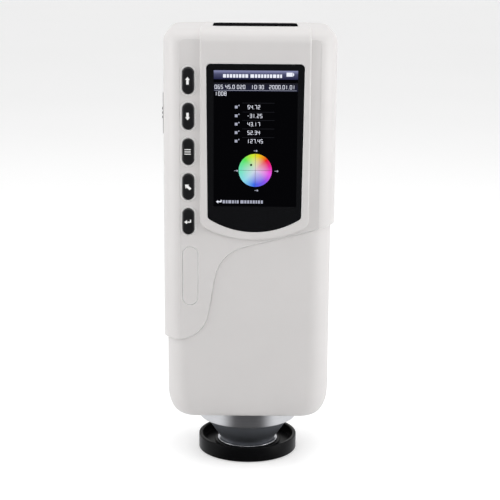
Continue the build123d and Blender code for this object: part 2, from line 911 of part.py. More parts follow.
with BuildPart() as battery_contacts:
    for step in range(cell_count):
        place = (step - (cell_count - 1) / 2) * cell_pitch
        for way in (-1, 1):
            wall_z = holder_z + way * (holder_height / 2 - battery_wall)
            with BuildSketch(Plane((place, cell_y, wall_z))):
                Rectangle(cell_radius, cell_radius)
            extrude(amount=-way * contact_thickness)
            with BuildSketch(Plane((place, cell_y, wall_z))):
                Circle(cell_nub_radius)
            extrude(amount=-way * (contact_room - stop_gap), taper=15)
save(battery_contacts, "battery_contacts")

with BuildPart() as battery_door:
    with BuildSketch(facing_front(0, inner_back + door_clear, (door_low + door_high) / 2)):
        Rectangle(2 * door_half, door_high - door_low - 2 * door_clear)
    extrude(amount=-(wall - door_clear))
    fillet(battery_door.edges().filter_by(Axis.X).group_by(Axis.Z)[0], door_edge)
    with BuildSketch(facing_front(0, body_back - grip_depth, door_high - 3 * grip_height)):
        SlotOverall(grip_width, grip_height)
    extrude(amount=-far, mode=Mode.SUBTRACT)
    for side in (-1, 1):
        with BuildSketch(facing_left(side * door_half, door_axis_y, door_axis_z)):
            Circle(door_pin_radius)
        extrude(amount=-side * door_pin_length)
save(battery_door, "battery_door")

# Screws: boards first, then the housing
with BuildPart() as board_screws:
    for x, z in front_posts:
        with BuildSketch(facing_front(x, board_back, z)):
            Circle(screw_radius)
        extrude(amount=board_thickness + post_depth - stop_gap)
        with BuildSketch(facing_front(x, board_back, z)):
            Circle(screw_head_radius)
        extrude(amount=-screw_head_height)
    for x, y in port_posts:
        with BuildSketch(Plane((x, y, port_board_top - board_thickness))):
            Circle(screw_radius)
        extrude(amount=board_thickness + post_depth - stop_gap)
        with BuildSketch(Plane((x, y, port_board_top - board_thickness))):
            Circle(screw_head_radius)
        extrude(amount=-screw_head_height)
    for x in (-trigger_post_x, trigger_post_x):
        with BuildSketch(facing_front(x, trigger_board_y - board_thickness, trigger_z)):
            Circle(screw_radius)
        extrude(amount=-(board_thickness + post_depth - stop_gap))
        with BuildSketch(facing_front(x, trigger_board_y - board_thickness, trigger_z)):
            Circle(screw_head_radius)
        extrude(amount=screw_head_height)
save(board_screws, "board_screws")

with BuildPart() as housing_screws:
    for x, z in case_screws:
        with BuildSketch(facing_front(x, case_recess, z)):
            Circle(case_screw_radius)
        extrude(amount=case_recess - split_y + case_post_length - wall)
        with BuildSketch(facing_front(x, case_recess, z)):
            Circle(case_head_radius)
        extrude(amount=-case_head_height)
        with BuildSketch(facing_front(x, case_head_level, z)):
            RegularPolygon(case_screw_radius, 6)
        extrude(amount=case_head_height / 2, mode=Mode.SUBTRACT)
save(housing_screws, "housing_screws")

# Measuring head under the body
with BuildPart() as silver_collar:
    with BuildSketch(Plane((0, 0, collar_low))):
        Circle(collar_radius)
        Circle(axis_hole, mode=Mode.SUBTRACT)
    extrude(amount=body_low - collar_low)
    fillet(silver_collar.edges().group_by(Axis.Z)[0].sort_by(SortBy.RADIUS)[-1], collar_edge)
    with Locations((0, 0, body_low)):
        with PolarLocations(head_screw_circle, 4, start_angle=45):
            Hole(screw_radius + pilot_gap, depth=head_screw_depth + stop_gap)
save(silver_collar, "silver_collar")

tip_top = cap_seat + tip_thickness
with BuildPart() as nose_cone:
    with BuildSketch(Plane.XZ):
        with BuildLine():
            Polyline(
                (tip_neck_radius + hole_gap, tip_top),
                (cone_tip_radius - hole_gap, tip_top),
                (cone_tip_radius, cone_tip_z),
                (cone_top_radius, collar_low),
                (axis_hole - hole_gap, collar_low),
                (axis_hole - hole_gap, collar_seat),
                (head_bore, collar_seat),
                (head_bore, collar_low),
                (tip_neck_radius + hole_gap, tip_top + tip_neck_height + hole_gap),
                close=True,
            )
        make_face()
    revolve(axis=Axis.Z)
save(nose_cone, "nose_cone")

with BuildPart() as aperture_ring:
    with BuildSketch(Plane.XZ):
        with BuildLine():
            Polyline(
                (aperture_radius, cap_seat),
                (tip_radius, cap_seat),
                (tip_radius, tip_top),
                (tip_neck_radius, tip_top),
                (tip_neck_radius, tip_top + tip_neck_height),
                (tip_neck_radius - tip_thickness, tip_top + tip_neck_height),
                (aperture_radius, tip_top),
                close=True,
            )
        make_face()
    revolve(axis=Axis.Z)
    fillet(aperture_ring.edges().filter_by(GeomType.CIRCLE).group_by(SortBy.RADIUS)[-1], tip_thickness / 3)
save(aperture_ring, "aperture_ring")

led_board_top = led_level + board_thickness
lens_tube = lens_radius + hole_gap / 2 + lens_tube_wall
lens_top = lens_low + lens_thickness
with BuildPart() as optical_head:
    with BuildSketch(Plane.XZ):
        with BuildLine():
            Polyline(
                (head_bore, collar_seat),
                (axis_hole - hole_gap, collar_seat),
                (axis_hole - hole_gap, inner_low),
                (head_flange_radius, inner_low),
                (head_flange_radius, inner_low + head_flange),
                (head_radius, inner_low + head_flange),
                (head_radius, head_top),
                (lens_radius - lens_lip, head_top),
                (lens_radius - lens_lip, lens_top),
                (lens_radius + hole_gap / 2, lens_top),
                (lens_radius + hole_gap / 2, lens_low - hole_gap),
                (lens_tube, lens_low - hole_gap),
                (lens_tube, head_top - head_roof),
                (head_bore_upper, head_top - head_roof),
                (head_bore_upper, led_board_top),
                (head_bore, led_board_top),
                close=True,
            )
        make_face()
    revolve(axis=Axis.Z)
    with Locations((0, 0, inner_low + head_flange)):
        with PolarLocations(head_screw_circle, 4, start_angle=45):
            Hole(screw_radius + fit_gap, depth=head_flange)
    with BuildSketch(Plane((0, 0, head_top - sensor_height - stop_gap))):
        Rectangle(sensor_size + 2 * fit_gap, sensor_size + 2 * fit_gap)
    extrude(amount=far, mode=Mode.SUBTRACT)
    with Locations((0, 0, head_top)):
        with GridLocations(2 * sensor_screw_x, 0, 2, 1):
            Hole(screw_radius + pilot_gap, depth=head_roof - wall / 4)
save(optical_head, "optical_head")

with BuildPart() as led_board:
    with BuildSketch(Plane((0, 0, led_level))):
        Circle(head_bore - hole_gap)
        Circle(lens_tube + hole_gap, mode=Mode.SUBTRACT)
    extrude(amount=board_thickness)
save(led_board, "led_board")

with BuildPart() as illumination_leds:
    with BuildSketch(Plane((0, 0, led_level))):
        with PolarLocations(led_circle, led_count):
            Circle(led_radius)
    extrude(amount=-led_height)
save(illumination_leds, "illumination_leds")

with BuildPart() as head_lens:
    with BuildSketch(Plane((0, 0, lens_low))):
        Circle(lens_radius)
    extrude(amount=lens_thickness)
save(head_lens, "head_lens")

with BuildPart() as sensor_board:
    with BuildSketch(Plane((0, 0, head_top))):
        Rectangle(sensor_board_size, sensor_board_size)
        with GridLocations(2 * sensor_screw_x, 0, 2, 1):
            Circle(screw_radius + fit_gap, mode=Mode.SUBTRACT)
    extrude(amount=board_thickness)
save(sensor_board, "sensor_board")

with BuildPart() as light_sensor:
    with BuildSketch(Plane((0, 0, head_top - sensor_height))):
        Rectangle(sensor_size, sensor_size)
    extrude(amount=sensor_height)
save(light_sensor, "light_sensor")

flex_base = head_top + board_thickness
with BuildPart() as sensor_flex:
    with BuildSketch(Plane.YZ):
        with BuildLine():
            Polyline(
                (-sensor_flex_reach, flex_base),
                (board_back, flex_base),
                (board_back, board_low + flex_drop),
                (board_back + flex_thickness, board_low + flex_drop),
                (board_back + flex_thickness, flex_base + flex_thickness),
                (-sensor_flex_reach, flex_base + flex_thickness),
                close=True,
            )
        make_face()
    extrude(amount=sensor_flex_width / 2, both=True)
save(sensor_flex, "sensor_flex")

with BuildPart() as head_screws:
    with BuildSketch(Plane((0, 0, inner_low + head_flange))):
        with PolarLocations(head_screw_circle, 4, start_angle=45):
            Circle(screw_radius)
    extrude(amount=-(inner_low + head_flange - body_low + head_screw_depth))
    with BuildSketch(Plane((0, 0, inner_low + head_flange))):
        with PolarLocations(head_screw_circle, 4, start_angle=45):
            Circle(screw_head_radius)
    extrude(amount=screw_head_height)
    with BuildSketch(Plane((0, 0, flex_base))):
        with GridLocations(2 * sensor_screw_x, 0, 2, 1):
            Circle(screw_radius)
    extrude(amount=-(board_thickness + head_roof - wall / 2))
    with BuildSketch(Plane((0, 0, flex_base))):
        with GridLocations(2 * sensor_screw_x, 0, 2, 1):
            Circle(screw_head_radius)
    extrude(amount=screw_head_height)
save(head_screws, "head_screws")

# Calibration cap with its white tile
tile_top = cap_seat - tile_sink
tile_low = tile_top - tile_thickness
tile_bed = tile_low - tile_pad_thickness
with BuildPart() as cap_tray:
    with BuildSketch(Plane.XZ):
        with BuildLine():
            Polyline(
                (0, pad_thickness),
                (pad_radius + fit_gap, pad_thickness),
                (pad_radius + fit_gap, pad_proud),
                (cap_radius, pad_proud),
                (cap_radius, cap_height),
                (cap_radius - cap_rim, cap_height),
                (cap_radius - cap_rim, cap_floor),
                (cap_seat_radius, cap_floor),
                (cap_seat_radius, cap_seat),
                (tile_radius + fit_gap, cap_seat),
                (tile_radius + fit_gap, tile_bed),
                (0, tile_bed),
                close=True,
            )
        make_face()
    revolve(axis=Axis.Z)
    fillet(cap_tray.edges().group_by(Axis.Z)[-1], cap_edge)
save(cap_tray, "cap_tray")

with BuildPart() as cap_foot_pad:
    with BuildSketch():
        Circle(pad_radius)
    extrude(amount=pad_thickness)
save(cap_foot_pad, "cap_foot_pad")

with BuildPart() as tile_pad:
    with BuildSketch(Plane.XY.offset(tile_bed)):
        Circle(tile_radius)
    extrude(amount=tile_pad_thickness)
save(tile_pad, "tile_pad")

with BuildPart() as white_tile:
    with BuildSketch(Plane.XY.offset(tile_low)):
        Circle(tile_radius)
    extrude(amount=tile_thickness)
save(white_tile, "white_tile")
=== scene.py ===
import json
import math

import bmesh
import bpy
from mathutils import Matrix, Vector


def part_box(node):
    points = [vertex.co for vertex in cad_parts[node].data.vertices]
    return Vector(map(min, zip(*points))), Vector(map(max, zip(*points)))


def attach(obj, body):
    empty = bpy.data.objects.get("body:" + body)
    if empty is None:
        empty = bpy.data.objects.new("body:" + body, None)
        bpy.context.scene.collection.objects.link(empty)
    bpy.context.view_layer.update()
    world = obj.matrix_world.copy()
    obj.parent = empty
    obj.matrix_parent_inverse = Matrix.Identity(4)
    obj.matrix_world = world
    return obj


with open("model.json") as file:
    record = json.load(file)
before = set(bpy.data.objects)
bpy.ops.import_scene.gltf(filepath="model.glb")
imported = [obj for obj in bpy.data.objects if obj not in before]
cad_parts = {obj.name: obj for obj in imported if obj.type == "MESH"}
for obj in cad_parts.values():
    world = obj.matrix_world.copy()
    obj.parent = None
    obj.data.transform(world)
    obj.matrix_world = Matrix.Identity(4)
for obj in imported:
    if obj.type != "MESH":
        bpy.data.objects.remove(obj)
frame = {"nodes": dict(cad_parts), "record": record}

MM = 0.001
QUARTER_TURN = math.radians(90)
INSTRUMENT = "instrument"
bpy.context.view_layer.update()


# Shader helpers

def shader(name):
    """A new material with its node tree, principled shader and object coordinates."""
    material = bpy.data.materials.new(name)
    material.use_nodes = True
    tree = material.node_tree
    principled = tree.nodes["Principled BSDF"]
    place = tree.nodes.new("ShaderNodeTexCoord").outputs["Object"]
    return material, tree, principled, place


def noise(tree, place, scale, detail=2.0, roughness=0.5, stretch=None):
    """Noise in object space, in cells per metre, drawn out along an axis where stretch is given."""
    if stretch:
        mapping = tree.nodes.new("ShaderNodeMapping")
        mapping.inputs["Scale"].default_value = stretch
        tree.links.new(place, mapping.inputs["Vector"])
        place = mapping.outputs["Vector"]
    node = tree.nodes.new("ShaderNodeTexNoise")
    node.inputs["Scale"].default_value = scale
    node.inputs["Detail"].default_value = detail
    node.inputs["Roughness"].default_value = roughness
    tree.links.new(place, node.inputs["Vector"])
    return node.outputs["Fac"]


def colour_ramp(tree, value, stops):
    """A value turned into a colour by stops of (position, colour), in rising order."""
    node = tree.nodes.new("ShaderNodeValToRGB")
    elements = node.color_ramp.elements
    for element, (position, colour) in zip(elements, (stops[0], stops[-1])):
        element.position = position
        element.color = (*colour, 1)
    for position, colour in stops[1:-1]:
        elements.new(position).color = (*colour, 1)
    tree.links.new(value, node.inputs["Fac"])
    return node.outputs["Color"]


def shade(colour, factor):
    """A colour made lighter or darker."""
    return tuple(min(1.0, part * factor) for part in colour)


def tinted(tree, value, colour, tint, start=0.3, stop=0.7):
    """A colour that varies to both sides by a share of itself."""
    return colour_ramp(tree, value, [(start, shade(colour, 1 - tint)), (stop, shade(colour, 1 + tint))])


def spread(tree, value, low, high, start=0.0, stop=1.0):
    """A value between start and stop moved into another range."""
    node = tree.nodes.new("ShaderNodeMapRange")
    node.inputs["From Min"].default_value = start
    node.inputs["From Max"].default_value = stop
    node.inputs["To Min"].default_value = low
    node.inputs["To Max"].default_value = high
    tree.links.new(value, node.inputs["Value"])
    return node.outputs["Result"]


def axes(tree, place):
    """The parts of a position, by the names of its axes."""
    node = tree.nodes.new("ShaderNodeSeparateXYZ")
    tree.links.new(place, node.inputs["Vector"])
    return node.outputs


def worked_out(tree, operation, *values):
    """The result of a calculation; each value is a number or the output of another node."""
    node = tree.nodes.new("ShaderNodeMath")
    node.operation = operation
    for socket, value in zip(node.inputs, values):
        if isinstance(value, float):
            socket.default_value = value
        else:
            tree.links.new(value, socket)
    return node.outputs[0]


def length_of(tree, vector):
    """The length of a vector."""
    node = tree.nodes.new("ShaderNodeVectorMath")
    node.operation = "LENGTH"
    tree.links.new(vector, node.inputs[0])
    return node.outputs["Value"]


def vector_of(tree, x, y):
    """A vector with two parts from other nodes and none along its third axis."""
    node = tree.nodes.new("ShaderNodeCombineXYZ")
    tree.links.new(x, node.inputs["X"])
    tree.links.new(y, node.inputs["Y"])
    return node.outputs["Vector"]


def rounded_normal(tree, radius, samples):
    """The surface's direction with its edges rounded by a radius."""
    node = tree.nodes.new("ShaderNodeBevel")
    node.samples = samples
    node.inputs["Radius"].default_value = radius
    return node.outputs["Normal"]


def mixed(tree, share, first, second):
    """Two colours mixed by a share; each is a colour or the output of another node."""
    node = tree.nodes.new("ShaderNodeMix")
    node.data_type = "RGBA"
    tree.links.new(share, node.inputs["Factor"])
    for name, colour in (("A", first), ("B", second)):
        if isinstance(colour, tuple):
            node.inputs[name].default_value = (*colour, 1)
        else:
            tree.links.new(colour, node.inputs[name])
    return node.outputs["Result"]


def painted_edge_highlight(tree, colours, light, radius):
    """Painted highlight: lighter colour along the edges, where rounded edges would catch the side lights.
    """
    flat_match, edge_match = 0.985, 0.91
    match = tree.nodes.new("ShaderNodeVectorMath")
    match.operation = "DOT_PRODUCT"
    tree.links.new(rounded_normal(tree, radius, samples=8), match.inputs[0])
    tree.links.new(tree.nodes.new("ShaderNodeNewGeometry").outputs["Normal"], match.inputs[1])
    share = spread(tree, match.outputs["Value"], 0.0, 1.0, flat_match, edge_match)
    return mixed(tree, share, colours, light)


def relief(tree, principled, value, depth, edge):
    """Bump over softly rounded edges."""
    bump = tree.nodes.new("ShaderNodeBump")
    bump.inputs["Strength"].default_value = 1.0
    bump.inputs["Distance"].default_value = depth
    tree.links.new(value, bump.inputs["Height"])
    tree.links.new(rounded_normal(tree, edge, samples=4), bump.inputs["Normal"])
    tree.links.new(bump.outputs["Normal"], principled.inputs["Normal"])


# Finishes. Colours are shares of light, depths and edges are in metres

def moulded(
    name, colour, rough, grain=2600, depth=0.000006, tint=0.05, edge=0.0003,
    coat=0.0, specular=0.5, edge_highlight_colour=None
):
    """Moulded plastic or rubber: fine grain, faint clouding and soft edges, with a painted highlight along
    the edges where a highlight colour is given.
    """
    cloud_scale, rough_change = 55, 0.05
    material, tree, principled, place = shader(name)
    clouds = noise(tree, place, cloud_scale, detail=3)
    colours = tinted(tree, clouds, colour, tint)
    # Painted highlight: the edges are lightened in place of the light that rounded edges catch
    if edge_highlight_colour:
        colours = painted_edge_highlight(tree, colours, edge_highlight_colour, edge)
    tree.links.new(colours, principled.inputs["Base Color"])
    grains = noise(tree, place, grain, roughness=0.6)
    roughness = spread(tree, clouds, rough - rough_change, rough + rough_change)
    tree.links.new(roughness, principled.inputs["Roughness"])
    principled.inputs["Coat Weight"].default_value = coat
    principled.inputs["Coat Roughness"].default_value = 0.08
    principled.inputs["Specular IOR Level"].default_value = specular
    relief(tree, principled, grains, depth, edge)
    return material


def turned(name, colour, rough, depth=0.000004, tint=0.12, edge=0.0003, metallic=1.0):
    """Metal turned about the measuring axis: fine rings round it."""
    ring_scale, rough_change = 5200, 0.07
    material, tree, principled, place = shader(name)
    parts = axes(tree, place)
    radius = length_of(tree, vector_of(tree, parts["X"], parts["Y"]))
    lines = noise(tree, vector_of(tree, radius, parts["Z"]), ring_scale, detail=3, roughness=0.7)
    tree.links.new(tinted(tree, lines, colour, tint), principled.inputs["Base Color"])
    roughness = spread(tree, lines, rough - rough_change, rough + rough_change)
    tree.links.new(roughness, principled.inputs["Roughness"])
    principled.inputs["Metallic"].default_value = metallic
    relief(tree, principled, lines, depth, edge)
    return material


def metal(name, colour, rough):
    """Plain sheet or wire metal with faint scratches."""
    scratch_scale, tint, rough_change = 900, 0.08, 0.06
    material, tree, principled, place = shader(name)
    lines = noise(tree, place, scratch_scale, detail=4, roughness=0.6, stretch=(1, 1, 0.1))
    tree.links.new(tinted(tree, lines, colour, tint), principled.inputs["Base Color"])
    roughness = spread(tree, lines, rough - rough_change, rough + rough_change)
    tree.links.new(roughness, principled.inputs["Roughness"])
    principled.inputs["Metallic"].default_value = 1.0
    relief(tree, principled, lines, depth=0.000002, edge=0.0002)
    return material


def glazed(name, colour, rough, coat=1.0, transmission=0.0, specular=0.5):
    """Smooth gloss with faint smears in its roughness."""
    smear_scale, tint, rough_change = 120, 0.1, 0.05
    material, tree, principled, place = shader(name)
    smears = noise(tree, place, smear_scale, detail=4, roughness=0.6, stretch=(1, 1, 0.4))
    tree.links.new(tinted(tree, smears, colour, tint), principled.inputs["Base Color"])
    tree.links.new(spread(tree, smears, rough, rough + rough_change), principled.inputs["Roughness"])
    principled.inputs["Coat Weight"].default_value = coat
    principled.inputs["Coat Roughness"].default_value = 0.03
    principled.inputs["Transmission Weight"].default_value = transmission
    principled.inputs["Specular IOR Level"].default_value = specular
    relief(tree, principled, smears, depth=0.000001, edge=0.0002)
    return material


def circuit(name):
    """Green solder mask with lighter copper tracks under it."""
    material, tree, principled, place = shader(name)
    bricks = tree.nodes.new("ShaderNodeTexBrick")
    bricks.inputs["Scale"].default_value = 180
    bricks.inputs["Mortar Size"].default_value = 0.03
    bricks.inputs["Color1"].default_value = (0.012, 0.11, 0.05, 1)
    bricks.inputs["Color2"].default_value = (0.015, 0.14, 0.06, 1)
    bricks.inputs["Mortar"].default_value = (0.05, 0.26, 0.11, 1)
    turn = tree.nodes.new("ShaderNodeMapping")
    turn.inputs["Rotation"].default_value = (QUARTER_TURN, 0, 0)
    tree.links.new(place, turn.inputs["Vector"])
    tree.links.new(turn.outputs["Vector"], bricks.inputs["Vector"])
    tree.links.new(bricks.outputs["Color"], principled.inputs["Base Color"])
    principled.inputs["Roughness"].default_value = 0.35
    relief(tree, principled, bricks.outputs["Fac"], depth=0.00002, edge=0.0001)
    return material


finishes = {
    "shell": moulded(
        "shell_plastic", (0.72, 0.7, 0.692), 0.36, grain=3200, tint=0.012, edge=0.0006,
        # Colour of the painted highlight along the shell's edges
        edge_highlight_colour=(0.97, 0.965, 0.955)
    ),
    "window": glazed("window_gloss", (0.002, 0.0022, 0.003), 0.04, coat=0.4, specular=0.4),
    "screen": glazed("screen_gloss", (0.01, 0.012, 0.02), 0.08),
    "steel": metal("bright_steel", (0.55, 0.55, 0.57), 0.32),
    "keys": moulded("key_plastic", (0.008, 0.008, 0.009), 0.34, depth=0.000003, tint=0.15, coat=0.15),
    "switch": moulded("dark_plastic", (0.03, 0.03, 0.033), 0.45, tint=0.1),
    "board": circuit("circuit_board"),
    "flex": moulded("flat_cable", (0.35, 0.14, 0.02), 0.4, tint=0.1),
    "rubber": moulded("black_rubber", (0.006, 0.006, 0.007), 0.6, grain=1800, tint=0.15, specular=0.0),
    "holder": moulded("black_moulding", (0.02, 0.02, 0.022), 0.5, tint=0.1),
    "cell": metal("cell_jacket", (0.5, 0.42, 0.2), 0.3),
    "collar": turned("turned_silver", (0.72, 0.72, 0.73), 0.3),
    # Painted shade: the cone is the same turned silver as the collar, made dark for the black cap it
    # reflects
    "gunmetal": turned("turned_silver_painted_dark", (0.16, 0.17, 0.19), 0.42, metallic=0.45),
    "tip": turned("turned_bright", (0.62, 0.63, 0.66), 0.2, depth=0.000002),
    "led": glazed("led_resin", (0.75, 0.72, 0.45), 0.15),
    "lens": glazed("lens_glass", (0.85, 0.92, 0.94), 0.02, transmission=0.9),
    "cap": moulded(
        "cap_plastic", (0.004, 0.004, 0.0045), 0.3, grain=2200, depth=0.000003, tint=0.12, edge=0.0004,
        specular=0.08
    ),
    "tile": glazed("white_tile_glaze", (0.86, 0.86, 0.84), 0.18),
}


# Finishes of the lit picture

SCREEN_ROUGHNESS = 0.25
UNLIT = (0.01, 0.01, 0.012)


def lit(name, colour, strength):
    """Part of the lit picture, with the faint grid of its dots."""
    dot_scale, dim, unlit_share = 4000, 0.9, 0.1
    material, tree, principled, place = shader(name)
    dots = noise(tree, place, dot_scale, detail=0)
    for share, socket in ((unlit_share, "Base Color"), (1.0, "Emission Color")):
        stops = [(0.3, shade(colour, share * dim)), (0.7, shade(colour, share))]
        tree.links.new(colour_ramp(tree, dots, stops), principled.inputs[socket])
    principled.inputs["Emission Strength"].default_value = strength
    principled.inputs["Roughness"].default_value = SCREEN_ROUGHNESS
    principled.inputs["Specular IOR Level"].default_value = 0.15
    return material


def glowing(principled, tree, colours, strength):
    """A dark surface that shines in the given colours."""
    principled.inputs["Base Color"].default_value = (*UNLIT, 1)
    tree.links.new(colours, principled.inputs["Emission Color"])
    principled.inputs["Emission Strength"].default_value = strength
    principled.inputs["Roughness"].default_value = SCREEN_ROUGHNESS


def banner_shader(name, top, bottom, half_height, strength):
    """Lit strip that fades from its upper edge's colour to its lower one's."""
    knee, knee_share = 0.6, 0.25
    material, tree, principled, place = shader(name)
    height = spread(tree, axes(tree, place)["Z"], 0.0, 1.0, -half_height, half_height)
    middle = tuple((1 - knee_share) * low + knee_share * high for low, high in zip(bottom, top))
    fade = colour_ramp(tree, height, [(0.0, bottom), (knee, middle), (1.0, top)])
    glowing(principled, tree, fade, strength)
    return material


def wheel_shader(name, radius):
    """Lit colour wheel: hue by angle, paler towards the centre."""
    pale, pale_share, full_reach = (0.85, 0.85, 0.95), 0.08, 0.85
    hues = [
        (0.0, (0.2, 0.95, 0.62)),
        (0.12, (0.32, 0.85, 1.0)),
        (0.24, (0.03, 0.14, 1.0)),
        (0.36, (0.28, 0.1, 1.0)),
        (0.46, (1.0, 0.1, 0.95)),
        (0.55, (1.0, 0.01, 0.3)),
        (0.62, (1.0, 0.01, 0.0)),
        (0.72, (1.0, 0.75, 0.0)),
        (0.78, (0.75, 1.0, 0.03)),
        (0.87, (0.12, 0.95, 0.1)),
        (1.0, (0.2, 0.95, 0.62)),
    ]
    material, tree, principled, place = shader(name)
    parts = axes(tree, place)
    angle = worked_out(tree, "ARCTAN2", parts["Z"], parts["X"])
    hue = colour_ramp(tree, spread(tree, angle, 0.0, 1.0, -math.pi, math.pi), hues)
    share = spread(tree, length_of(tree, place), pale_share, 1.0, 0.0, full_reach * radius)
    glowing(principled, tree, mixed(tree, share, pale, hue), strength=0.8)
    return material


# Soft shading of the frame's own pieces, by the angle of their edges

def smoothing_group():
    """Geometry nodes that join split points and round the shading of shallow edges."""
    sharp_angle, join_distance = math.radians(27), 0.001 * MM
    group = bpy.data.node_groups.new("edge_shading", "GeometryNodeTree")
    group.interface.new_socket("Geometry", in_out="INPUT", socket_type="NodeSocketGeometry")
    group.interface.new_socket("Geometry", in_out="OUTPUT", socket_type="NodeSocketGeometry")
    start = group.nodes.new("NodeGroupInput")
    end = group.nodes.new("NodeGroupOutput")
    bare = group.nodes.new("GeometryNodeRemoveAttribute")
    bare.inputs["Name"].default_value = "custom_normal"
    join = group.nodes.new("GeometryNodeMergeByDistance")
    join.inputs["Distance"].default_value = join_distance
    smooth = group.nodes.new("GeometryNodeSetShadeSmooth")
    sharp = group.nodes.new("GeometryNodeSetShadeSmooth")
    sharp.domain = "EDGE"
    sharp.inputs["Shade Smooth"].default_value = False
    angle = group.nodes.new("GeometryNodeInputMeshEdgeAngle")
    wide = group.nodes.new("FunctionNodeCompare")
    wide.operation = "GREATER_THAN"
    wide.inputs["B"].default_value = sharp_angle
    group.links.new(angle.outputs["Unsigned Angle"], wide.inputs["A"])
    group.links.new(wide.outputs["Result"], sharp.inputs["Selection"])
    group.links.new(start.outputs[0], bare.inputs["Geometry"])
    for before, after in ((bare, join), (join, smooth), (smooth, sharp)):
        group.links.new(before.outputs["Geometry"], after.inputs["Geometry"])
    group.links.new(sharp.outputs["Geometry"], end.inputs[0])
    return group


edge_shading = smoothing_group()
node_slots = {entry["node"]: entry["material_slot"] for entry in frame["record"]["subparts"]}
for name, node in frame["nodes"].items():
    node.data.materials.clear()
    node.data.materials.append(finishes[node_slots[name]])
    node.modifiers.new("edge_shading", "NODES").node_group = edge_shading


# Pieces of the scene

def in_scene(name, data):
    """A new object of the scene that holds the data."""
    item = bpy.data.objects.new(name, data)
    bpy.context.scene.collection.objects.link(item)
    return item


def solid(mesh, name, material):
    """A finished mesh as a new object with its material."""
    data = bpy.data.meshes.new(name)
    mesh.to_mesh(data)
    mesh.free()
    data.materials.append(material)
    return in_scene(name, data)


def plate(name, outlines, front, thickness, material, body, centre=(0, 0)):
    """Thin plates seen from the front; outlines are lists of (x, z) in mm about centre."""
    mesh = bmesh.new()
    for outline in outlines:
        points = [mesh.verts.new((x * MM, thickness * MM, z * MM)) for x, z in outline]
        grown = bmesh.ops.extrude_face_region(mesh, geom=[mesh.faces.new(points)])
        moved = [item for item in grown["geom"] if isinstance(item, bmesh.types.BMVert)]
        bmesh.ops.translate(mesh, verts=moved, vec=(0, -thickness * MM, 0))
    bmesh.ops.recalc_face_normals(mesh, faces=mesh.faces)
    piece = solid(mesh, name, material)
    piece.location = (centre[0] * MM, front * MM, centre[1] * MM)
    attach(piece, body)


# Outlines, in mm

def box(left, low, right, high):
    """Rectangle as an outline."""
    return [(left, low), (right, low), (right, high), (left, high)]


def centred_box(half_width, half_height):
    """Rectangle about the origin."""
    return box(-half_width, -half_height, half_width, half_height)


def disc(x, z, radius, count):
    """Circle as an outline."""
    turns = [2 * math.pi * step / count for step in range(count)]
    return [(x + radius * math.cos(turn), z + radius * math.sin(turn)) for turn in turns]


def stroke(x1, z1, x2, z2, width):
    """Straight bar between two points as an outline."""
    run = Vector((x2 - x1, z2 - z1)).normalized() * width / 2
    return [
        (x1 - run.y, z1 + run.x),
        (x1 + run.y, z1 - run.x),
        (x2 + run.y, z2 - run.x),
        (x2 - run.y, z2 + run.x),
    ]


def arrow(turn, length=3.4, head=2.2, shaft=1.15):
    """Arrow that points up, turned anticlockwise by turn degrees."""
    half, head_length = length / 2, 0.62 * head
    shoulder = half - head_length
    outline = [
        (-shaft / 2, -half),
        (shaft / 2, -half),
        (shaft / 2, shoulder),
        (head / 2, shoulder),
        (0, half),
        (-head / 2, shoulder),
        (-shaft / 2, shoulder),
    ]
    spin = Matrix.Rotation(math.radians(turn), 2)
    return [tuple(spin @ Vector(point)) for point in outline]


# Bars of a plain digit: top, upper left, upper right, middle, lower left, lower right, bottom
DIGIT_BARS = {
    "0": "1110111",
    "2": "1011101",
    "3": "1011011",
    "4": "0111010",
    "5": "1101011",
    "6": "1101111",
    "7": "1010010",
    "8": "1111111",
    "9": "1111011",
}


def digit(sign, left, low, width, height, line):
    """One plain digit as outlines; a 1 is a single bar in the middle."""
    right, top, middle = left + width, low + height, low + height / 2
    if sign == "1":
        return [stroke(left + width / 2, low, left + width / 2, top, line)]
    bars = [
        stroke(left, top, right, top, line),
        stroke(left, middle, left, top, line),
        stroke(right, middle, right, top, line),
        stroke(left, middle, right, middle, line),
        stroke(left, low, left, middle, line),
        stroke(right, low, right, middle, line),
        stroke(left, low, right, low, line),
    ]
    return [bar for bar, shown in zip(bars, DIGIT_BARS[sign]) if shown == "1"]


def digits(text, left, low, width=0.8, height=1.6, line=0.2, gap=0.54):
    """Plain numbers made of bars, from the left; '.', ':' and '-' are marks and a space is a gap."""
    dot_levels, dash, blank = (0.2, 0.7), 0.6 * width, 0.8 * width
    outlines = []
    x = left
    for sign in text:
        if sign == ".":
            outlines.append(box(x - line / 2, low - line / 2, x + line / 2, low + line / 2))
            x += gap
        elif sign == ":":
            for level in dot_levels:
                foot = low + level * height
                outlines.append(box(x - line / 2, foot, x + line / 2, foot + line))
            x += gap
        elif sign == "-":
            outlines.append(stroke(x, low + height / 2, x + dash, low + height / 2, line))
            x += dash + gap
        elif sign == " ":
            x += blank
        else:
            outlines += digit(sign, x, low, width, height, line)
            x += width + gap
    return outlines


def word_row(words, low, high, gap=0.38):
    """Short bars in place of words; each word is its left end and the lengths of its bars."""
    outlines = []
    for x, lengths in words:
        for length in lengths:
            outlines.append(box(x, low, x + length, high))
            x += length + gap
    return outlines


# The lit picture: x and z in mm in the part's frame, layers a little in front of the window
WINDOW_FRONT = -33.3
GROUND_LAYER, COLOUR_LAYER, MARK_LAYER = 0.015, 0.03, 0.05
FILM = 0.012

white_light = lit("picture_white", (0.88, 0.9, 1.0), 0.95)
dim_light = lit("picture_grey", (0.05, 0.052, 0.065), 0.35)
pale_light = lit("picture_pale", (0.5, 0.52, 0.64), 0.75)
dark_light = lit("picture_dark", (0.0008, 0.0008, 0.002), 0.4)


def on_screen(name, outlines, material, layer=MARK_LAYER, centre=(0, 0)):
    """Part of the picture on one of its layers."""
    plate("picture_" + name, outlines, WINDOW_FRONT - layer, FILM, material, INSTRUMENT, centre)


